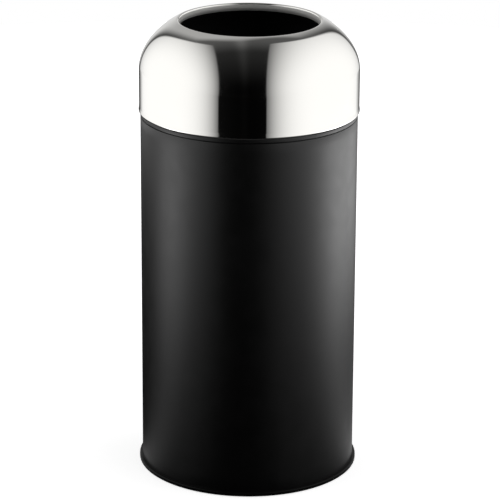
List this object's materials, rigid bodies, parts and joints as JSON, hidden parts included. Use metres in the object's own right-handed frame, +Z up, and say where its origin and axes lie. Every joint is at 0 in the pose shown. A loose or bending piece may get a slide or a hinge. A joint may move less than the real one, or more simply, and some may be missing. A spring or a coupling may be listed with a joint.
{
  "type": "dome top waste receptacle",
  "caption": "Open-mouth waste receptacle: black steel cylinder under a polished lift-off dome, with a galvanised pail and a bag ring inside.",
  "frame": {"origin": "on the floor, on the axis of the cylinder, at the centre of the footprint", "axes": "+Z up along the cylinder's axis; the front faces -Y, the seam and the folded handle are at +Y; +X to the right seen from the front"},
  "size_m": [0.3496, 0.3496, 0.726],
  "materials": {
    "shell_paint": "satin black powder coat",
    "pan_paint": "matt black powder coat",
    "dome_steel": "polished stainless steel",
    "support_steel": "plain stainless steel",
    "base_plastic": "black moulded plastic",
    "rubber": "black rubber",
    "screw_steel": "zinc plated",
    "pail_zinc": "galvanised",
    "handle_steel": "galvanised wire",
    "grip_plastic": "black moulded plastic",
    "ring_plastic": "dark moulded plastic"
  },
  "bodies": {
    "shell": {"body_shell": "shell_paint", "neck_collar": "shell_paint", "base_pan": "pan_paint", "base_ring": "base_plastic", "grip_ring": "rubber", "base_screws": "screw_steel", "pail_pads": "rubber"},
    "pail": {"pail_wall": "pail_zinc", "pail_bottom": "pail_zinc", "pail_foot_hoop": "pail_zinc", "pail_rim_wire": "handle_steel", "ear_left": "pail_zinc", "ear_right": "pail_zinc", "ear_rivets": "screw_steel"},
    "bag_ring": {"bag_ring": "ring_plastic"},
    "dome": {"dome_shell": "dome_steel", "dome_support_ring": "support_steel", "dome_edge_strip": "rubber"},
    "handle": {"bail_handle": "handle_steel"},
    "grip": {"handle_grip": "grip_plastic"}
  },
  "joints": [
    {"name": "pail_lift", "type": "slide", "parent": "shell", "child": "pail", "axis": [0, 0, 1], "range_m": [0, 0.62]},
    {"name": "bag_ring_lift", "type": "slide", "parent": "pail", "child": "bag_ring", "axis": [0, 0, 1], "range_m": [0, 0.2]},
    {"name": "dome_lift", "type": "slide", "parent": "bag_ring", "child": "dome", "axis": [0, 0, 1], "range_m": [0, 0.2]},
    {"name": "handle_fold", "type": "hinge", "parent": "pail", "child": "handle", "pos_m": [0, 0, 0.5724], "axis": [1, 0, 0], "range_deg": [0, 180]},
    {"name": "grip_spin", "type": "hinge", "parent": "handle", "child": "grip", "pos_m": [0, 0.105, 0.5724], "axis": [1, 0, 0], "continuous": true}
  ]
}
